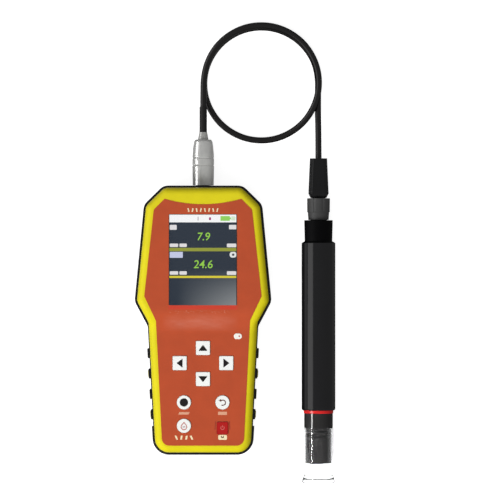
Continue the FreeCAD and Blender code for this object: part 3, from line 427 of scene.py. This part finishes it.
SHARED = {
    "boards": ["main_board", "probe_board"],
    "contacts": ["socket_contacts", "probe_contacts"],
    "steel": ["case_screws", "door_screws", "battery_contacts"],
    "seals": ["case_gasket", "door_seal", "display_gasket", "tube_seals", "cup_seals"],
    "panel_socket": ["panel_socket", "socket_nut"],
    "plug_core": ["plug_core", "probe_plug_core", "key_switches"],
    "display_bracket": ["display_bracket", "battery_tray"],
    "white_key": [
        "key_up",
        "key_down",
        "key_left",
        "key_right",
        "key_enter",
        "key_return",
        "key_backlight",
    ],
}


def paint(piece, material):
    piece.data.materials.clear()
    piece.data.materials.append(material)


def paint_cad():
    """Gives every CAD node its finish."""
    shared = {node: name for name, members in SHARED.items() for node in members}
    for name, node in nodes.items():
        paint(node, MATERIALS[shared.get(name, name if name != "cable" else "cable_jacket")])


paint_cad()
paint(cable, MATERIALS["cable_jacket"])


# ---- flat pieces ----
def rounded_box(x, y, width, length, radius, steps=5):
    """The outline of a rectangle centred on (x, y), with round corners."""
    points = []
    for i, (sx, sy) in enumerate([(1, 1), (-1, 1), (-1, -1), (1, -1)]):
        cx, cy = x + sx * (width / 2 - radius), y + sy * (length / 2 - radius)
        for step in range(steps + 1):
            turn = math.radians(90 * i + 90 * step / steps)
            points.append((cx + radius * math.cos(turn), cy + radius * math.sin(turn)))
    return points


def flat_piece(name, outlines, base, thick, material, body, bevel=0.0):
    """One piece of plates, each an outline of (x, y) points, from the height base up by thick."""
    vertices, faces = [], []
    for outline in outlines:
        count, first = len(outline), len(vertices)
        vertices += [(x * MM, y * MM, base * MM) for x, y in outline]
        vertices += [(x * MM, y * MM, (base + thick) * MM) for x, y in outline]
        faces.append(tuple(range(first + count - 1, first - 1, -1)))
        faces.append(tuple(range(first + count, first + 2 * count)))
        for i in range(count):
            j = (i + 1) % count
            faces.append((first + i, first + j, first + count + j, first + count + i))
    mesh = bpy.data.meshes.new(name)
    mesh.from_pydata(vertices, [], faces)
    mesh.update()
    made = bpy.data.objects.new(name, mesh)
    bpy.context.scene.collection.objects.link(made)
    if bevel:
        edge = made.modifiers.new("edge", "BEVEL")
        edge.width = bevel * MM
        edge.segments = 2
        edge.limit_method = "ANGLE"
    paint(made, material)
    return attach(made, body)


def figures(name, words, x, y, height, base, material, body, lean=0.0):
    """A number, centred on (x, y), whose figures are this high."""
    data = bpy.data.curves.new(name, "FONT")
    data.body = words
    data.align_x = "CENTER"
    data.align_y = "CENTER"
    data.size = height * 1.37 * MM
    data.shear = lean
    data.extrude = 0.02 * MM
    data.offset = 0.06 * MM
    made = bpy.data.objects.new(name, data)
    made.location = Vector((x, y, base + 0.03)) * MM
    bpy.context.scene.collection.objects.link(made)
    data.materials.append(material)
    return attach(made, body)


# ---- the display's picture ----
def on_screen(left, top, width, length):
    """An outline's centre and size, from millimetres right of and below the picture's corner."""
    return (SCREEN_LEFT + left + width / 2, SCREEN_TOP - top - length / 2, width, length)


PICTURE_WIDTH = SCREEN_WIDTH + 2  # it runs 1 mm under the panel on every side
PICTURE_HEIGHT = SCREEN_HEIGHT + 2
ON_TOP = 0.09  # how high a mark lies over the ground when it lies on another mark


def screen_marks(name, boxes, radius, colour, strength, lift=0.04):
    outlines = [rounded_box(*on_screen(*box), radius) for box in boxes]
    glow = lit(name, colour, strength)
    return flat_piece(name, outlines, SCREEN_Z + lift, 0.04, glow, "meter")


def display_picture():
    ground = [rounded_box(*on_screen(-1, -1, PICTURE_WIDTH, PICTURE_HEIGHT), 0.3)]
    flat_piece("screen_ground", ground, SCREEN_Z, 0.04, display_glow(), "meter")
    cell = [(45.0, 1.6, 8.2, 4.2), (53.2, 2.8, 0.9, 1.8)]
    marks = [
        ("status_bar", [(-1, -1, PICTURE_WIDTH, 8.1)], 0.2, linear(251, 250, 250), 1.05),
        ("status_mark", [(25.2, 2.2, 0.6, 3.4)], 0.25, linear(150, 130, 140), 0.9, ON_TOP),
        ("status_drop", [(35.0, 2.6, 1.8, 2.6)], 0.85, linear(176, 40, 120), 0.9, ON_TOP),
        ("battery", cell, 0.35, linear(150, 220, 90), 0.95, ON_TOP),
        ("battery_halo", [(54.4, 1.9, 3.6, 3.6)], 0.8, linear(222, 246, 214), 0.95, ON_TOP),
        ("rule_top", [(-1, 29.3, PICTURE_WIDTH, 3.0)], 0.1, linear(151, 156, 38), 0.95),
        ("rule_low", [(-1, 53.7, PICTURE_WIDTH, 1.9)], 0.1, linear(226, 208, 30), 0.98),
    ]
    for name, *looks in marks:
        screen_marks("screen_" + name, *looks)
    blocks = [(0.8, 9.3, 6.1, 4.3), (52.4, 9.3, 6.6, 3.9)]
    for top in (25.6, 49.7):
        blocks += [(0.8, top, 7.4, 3.0), (9.3, top, 6.4, 3.0), (50.6, top, 8.2, 3.2)]
    screen_marks("screen_labels", blocks, 0.7, linear(242, 237, 238), 0.92)
    screen_marks("screen_lilac_label", [(0.8, 32.8, 11.4, 5.2)], 0.5, linear(206, 210, 240), 0.95)
    screen_marks("screen_round_label", [(53.0, 32.8, 6.0, 5.0)], 2.2, linear(240, 240, 238), 0.95)
    screen_marks("screen_round_dot", [(55.0, 34.3, 2.2, 2.0)], 0.9, linear(60, 60, 66), 0.9, ON_TOP)
    # Dark strips along the picture's left, top and right edges, widest on the right, are painted
    # shade at the display's edges; the same black colours the liner walls round the screen.
    edges = [(-1, -1, 1.5, PICTURE_HEIGHT), (-1, -1, PICTURE_WIDTH, 1.4)]
    edges.append((SCREEN_WIDTH - 0.7, -1, 1.7, PICTURE_HEIGHT))
    dark = printed("liner_black_and_painted_edge_shade", linear(14, 14, 16))
    outlines = [rounded_box(*on_screen(*edge), 0.1) for edge in edges]
    flat_piece("screen_edge", outlines, SCREEN_Z + 0.14, 0.03, dark, "meter")
    wall, tall, wide = 0.2, SCREEN_HEIGHT + 0.5, SCREEN_WIDTH + 0.5
    walls = [(-0.25, -0.25, wall, tall), (SCREEN_WIDTH + 0.05, -0.25, wall, tall)]
    walls += [(-0.25, -0.25, wide, wall), (-0.25, SCREEN_HEIGHT + 0.05, wide, wall)]
    outlines = [rounded_box(*on_screen(*box), 0.05) for box in walls]
    deep = low("display_window").z - SCREEN_Z - 0.3
    flat_piece("screen_surround", outlines, SCREEN_Z + 0.2, deep, dark, "meter")
    green = lit("screen_figures", linear(152, 214, 64), 0.95)
    readings = (("reading_top", "7.9", 30.0, 19.8, 7.0), ("reading_low", "24.6", 29.8, 44.0, 7.2))
    for name, words, left, top, size in readings:
        x, y = SCREEN_LEFT + left, SCREEN_TOP - top
        figures(name, words, x, y, size, SCREEN_Z, green, "meter", 0.12)


# ---- marks on the panel and the keys ----
def arrow(x, y, quarter):
    """A triangle at (x, y) that points up, turned by quarters to the left."""
    wide, tall = 4.0, 2.5
    points = [(-wide, -tall), (wide, -tall), (0.25, tall), (-0.25, tall)]
    turn = math.radians(90 * quarter)
    cosine, sine = math.cos(turn), math.sin(turn)
    return [(x + a * cosine - b * sine, y + a * sine + b * cosine) for a, b in points]


def ring_part(x, y, radius, width, start, end, steps=22):
    """A band along an arc from start to end, in degrees."""
    turns = [math.radians(start + (end - start) * i / steps) for i in range(steps + 1)]
    far, near = radius + width / 2, radius - width / 2
    outer = [(x + far * math.cos(t), y + far * math.sin(t)) for t in turns]
    inner = [(x + near * math.cos(t), y + near * math.sin(t)) for t in turns]
    return outer + inner[::-1]


def drop_outline(x, y, radius, tip, steps=20):
    """A drop: a round foot with a point above it."""
    turns = [math.radians(150 + 240 * i / steps) for i in range(steps + 1)]
    return [(x, y + tip)] + [(x + radius * math.cos(t), y + radius * math.sin(t)) for t in turns]


def key_icons():
    black = printed("ink_black", linear(22, 18, 18))
    brown = printed("ink_brown", linear(104, 70, 62))
    rose = printed("ink_rose", linear(196, 120, 112))
    white = printed("ink_white", linear(244, 240, 238))
    pink = printed("ink_pink", linear(214, 120, 112))
    top = high("key_up").z
    for turns, name in enumerate(["up", "left", "down", "right"]):
        key = "key_" + name
        head = [arrow(middle(key).x, middle(key).y, turns)]
        flat_piece("icon_" + name, head, top, 0.06, black, key)
    at = middle("key_enter")
    disc = [ring_part(at.x, at.y, 1.85, 3.6, 0, 360, 40)]
    flat_piece("icon_enter", disc, top, 0.06, black, "key_enter")
    at = middle("key_return")
    hook = [ring_part(at.x + 0.3, at.y - 0.2, 2.3, 0.9, -120, 130)]
    hook.append([(at.x - 3.5, at.y + 1.7), (at.x - 1.2, at.y + 3.0), (at.x - 1.0, at.y + 0.4)])
    flat_piece("icon_return", hook, top, 0.06, brown, "key_return")
    at = middle("key_backlight")
    layers = [
        ("icon_backlight", drop_outline(at.x, at.y - 0.9, 2.9, 4.6), rose),
        ("icon_backlight_inner", drop_outline(at.x, at.y - 0.9, 2.1, 3.4), white),
        ("icon_backlight_mouth", rounded_box(at.x, at.y - 0.9, 2.4, 0.6, 0.25), brown),
    ]
    for i, (name, outline, ink) in enumerate(layers):
        flat_piece(name, [outline], top + 0.04 * i, 0.04, ink, "key_backlight")
    at = middle("key_power")
    mark = [ring_part(at.x, at.y + 0.2, 1.5, 0.45, 130, 410)]
    mark.append(rounded_box(at.x, at.y + 1.4, 0.45, 1.8, 0.2))
    flat_piece("icon_power", mark, high("key_power").z, 0.05, pink, "key_power")


def slanted(x, y, width, length, lean):
    """A bar leaning to the right by lean at its top."""
    w, h, shift = width / 2, length / 2, lean / 2
    foot = [(x - w - shift, y - h), (x + w - shift, y - h)]
    return foot + [(x + w + shift, y + h), (x - w + shift, y + h)]


def panel_print():
    """Plain cream bars where the real panel has words."""
    cream = printed("ink_cream", linear(246, 232, 190))
    ink = 0.04
    bars = [slanted(-12.6 + 3.6 * i, 96.0, 1.1, 3.2, 0.6 if i % 2 else -0.6) for i in range(8)]
    flat_piece("print_title", bars, HEAD_Z, ink, cream, "meter")
    under = [slanted(-16.6, -81.2, 9.0, 2.2, 1.2), slanted(17.0, -81.2, 7.8, 2.8, 0.0)]
    worn = printed("ink_worn", linear(224, 164, 132))
    flat_piece("print_key_names", under, PANEL_Z, ink, worn, "meter")
    leans = (-1.4, 0.6, 0.6, -1.4)
    dashes = [slanted(-23.2 + 4.4 * i, -102.4, 1.6, 3.4, lean) for i, lean in enumerate(leans)]
    flat_piece("print_light_dashes", dashes, PANEL_Z, ink, cream, "meter")
    pill = [rounded_box(17.1, -102.2, 7.6, 4.2, 1.1)]
    flat_piece("print_power_pill", pill, PANEL_Z, ink, cream, "meter")
    dark = printed("ink_olive", linear(96, 60, 44))
    rust = printed("ink_rust", linear(148, 46, 32))
    ears = [slanted(17.0 + side * 6.3, -91.8, 0.6, 7.4, -0.5 * side) for side in (-1, 1)]
    flat_piece("print_power_ears", ears, PANEL_Z, ink, rust, "meter")
    tick = [slanted(16.3, -101.9, 1.0, 1.8, -0.8), slanted(17.7, -101.9, 1.0, 1.8, 0.8)]
    flat_piece("print_power_tick", tick, PANEL_Z + ink, 0.03, dark, "meter")


display_picture()
key_icons()
panel_print()


# ---- floor, light and finish ----
def ray_switch(tree, factor, plain, special):
    """A shader that is special where the factor is 1 and plain where it's 0."""
    both = tree.nodes.new("ShaderNodeMixShader")
    tree.links.new(factor, both.inputs[0])
    tree.links.new(plain, both.inputs[1])
    tree.links.new(special, both.inputs[2])
    return both.outputs["Shader"]


def floor():
    """A pale table, lit from below as well, so that it stays nearly white round the object.

    In gloss it is bright on the left, where the lamps are, dark under the probe, and dim on the
    right.
    """
    bpy.ops.mesh.primitive_plane_add(size=30.0, location=(0, 0, -0.0002))
    made = bpy.context.object
    made.name = "floor"
    n = Nodes("floor_white")
    n.set(Base_Color=(0.5, 0.5, 0.5, 1.0), Roughness=n.remap(n.noise(20.0), 0.85, 0.95))
    n.set(Emission_Color=(1.0, 1.0, 1.0, 1.0), Emission_Strength=0.84)
    across = n.add("ShaderNodeSeparateXYZ", [("Vector", n.place)]).outputs["X"]
    fall = n.remap(across, 0.48, 0.0, (PROBE.x - 125) * MM, (PROBE.x - 42) * MM)
    rise = n.remap(across, 0.0, 0.22, (PROBE.x + 16) * MM, (PROBE.x + 50) * MM)
    both_ends = math_node(n.tree, "ADD", fall, rise)
    dull = n.add("ShaderNodeEmission", [("Color", (1.0, 1.0, 1.0, 1.0)), ("Strength", both_ends)])
    even = n.add("ShaderNodeEmission", [("Color", (1.0, 1.0, 1.0, 1.0)), ("Strength", 0.24)])
    path = n.add("ShaderNodeLightPath").outputs
    unseen = ray_switch(n.tree, path["Is Glossy Ray"], even.outputs[0], dull.outputs[0])
    plainly = math_node(n.tree, "MAXIMUM", path["Is Camera Ray"], path["Is Transmission Ray"])
    seen = ray_switch(n.tree, plainly, unseen, n.shader.outputs["BSDF"])
    n.tree.links.new(seen, n.tree.nodes["Material Output"].inputs["Surface"])
    made.data.materials.append(n.material)


def softbox(name, target, direction, distance, width, height, power, glossy=True, diffuse=True):
    """An area light that faces the target from this direction. Its width lies level."""
    data = bpy.data.lights.new(name, "AREA")
    data.shape = "RECTANGLE"
    data.size, data.size_y = width, height
    data.energy = power
    made = bpy.data.objects.new(name, data)
    towards = Vector(direction).normalized()
    made.location = Vector(target) * MM + towards * distance
    made.rotation_mode = "QUATERNION"
    made.rotation_quaternion = towards.to_track_quat("Z", "Y")
    made.visible_camera = False
    made.visible_transmission = False
    made.visible_glossy = glossy
    made.visible_diffuse = diffuse
    bpy.context.scene.collection.objects.link(made)
    return made


def light_only(light, receivers):
    """Keeps a small light to these pieces, as cards round them would."""
    group = bpy.data.collections.new(light.name + "_receivers")
    for piece in receivers:
        group.objects.link(piece)
    light.light_linking.receiver_collection = group


def lights():
    """The lamps. The ones with receivers light only those pieces."""
    middle_of_it = (41.0, 61.0, 20.0)
    softbox("key_light", middle_of_it, (-1.0, -0.7, 1.0), 3.0, 1.0, 1.0, 62, glossy=False)
    softbox("front_light", middle_of_it, (0.1, -1.0, 1.1), 2.5, 1.6, 0.8, 11, glossy=False)
    softbox("side_light", middle_of_it, (-1.0, 0.0, 0.6), 2.0, 3.2, 1.5, 17, diffuse=False)
    probe_axis, strip_side = (PROBE.x, PROBE.y, 15), (-1.0, 0.0, 0.70)
    strips = (("cup_strip", 62, ["storage_cup"]), ("neck_strip", 110, ["sensor_head", "red_ring"]))
    for name, power, lit_nodes in strips:
        strip = softbox(name, probe_axis, strip_side, 1.2, 2.4, 0.17, power, diffuse=False)
        light_only(strip, [nodes[node] for node in lit_nodes])
    plug = (0, 140, 12)
    card = softbox("plug_card", plug, (-1.0, 0.0, 0.1), 0.8, 1.0, 0.6, 20, diffuse=False)
    fill = softbox("plug_fill", plug, (1.0, 0.0, 0.6), 0.8, 1.0, 0.6, 3.4, glossy=False)
    for light in (card, fill):
        light_only(light, [nodes["release_sleeve"], nodes["plug_cone"]])


def room_light():
    """A pale room, brighter overhead, to the left and in front, and dim through clear pieces."""
    world = bpy.data.worlds.new("studio")
    bpy.context.scene.world = world
    world.use_nodes = True
    tree = world.node_tree
    room = tree.nodes["Background"]
    room.inputs["Color"].default_value = (1.0, 1.0, 1.0, 1.0)
    way = tree.nodes.new("ShaderNodeSeparateXYZ")
    tree.links.new(tree.nodes.new("ShaderNodeTexCoord").outputs["Generated"], way.inputs[0])

    def ramp(axis, first, last, from_min, from_max):
        """A strength that goes from first to last between two values of the ray's direction."""
        node = tree.nodes.new("ShaderNodeMapRange")
        tree.links.new(way.outputs[axis], node.inputs["Value"])
        ends = {"From Min": from_min, "From Max": from_max, "To Min": first, "To Max": last}
        for key, value in ends.items():
            node.inputs[key].default_value = value
        return node.outputs["Result"]

    rise = ramp("Z", 0.22, 0.72, 0.0, 1.0)
    for axis in ("X", "Y"):
        rise = math_node(tree, "MULTIPLY", rise, ramp(axis, 1.05, 0.6, -0.2, 0.9))
    tree.links.new(rise, room.inputs["Strength"])

    def shade(strength):
        """An even white backdrop of this strength, a number or a socket."""
        node = tree.nodes.new("ShaderNodeBackground")
        node.inputs["Color"].default_value = (1.0, 1.0, 1.0, 1.0)
        if isinstance(strength, float):
            node.inputs["Strength"].default_value = strength
        else:
            tree.links.new(strength, node.inputs["Strength"])
        return node.outputs[0]

    path = tree.nodes.new("ShaderNodeLightPath").outputs
    unseen = ray_switch(tree, path["Is Glossy Ray"], room.outputs[0], shade(0.25))
    through = shade(ramp("Z", 0.9, 0.25, 0.05, 0.3))
    unseen = ray_switch(tree, path["Is Transmission Ray"], unseen, through)
    seen = ray_switch(tree, path["Is Camera Ray"], unseen, shade(1.0))
    tree.links.new(seen, tree.nodes["World Output"].inputs["Surface"])
    bpy.context.scene.view_settings.view_transform = "Standard"


def hide_case_in_gloss():
    """Keeps the meter out of the reflections in the black tube beside it."""
    for name in nodes:
        if high(name).x < PROBE.x - 40 and high(name).y < low("release_sleeve").y + 1:
            nodes[name].visible_glossy = False


floor()
lights()
room_light()
hide_case_in_gloss()

bpy.context.view_layer.update()
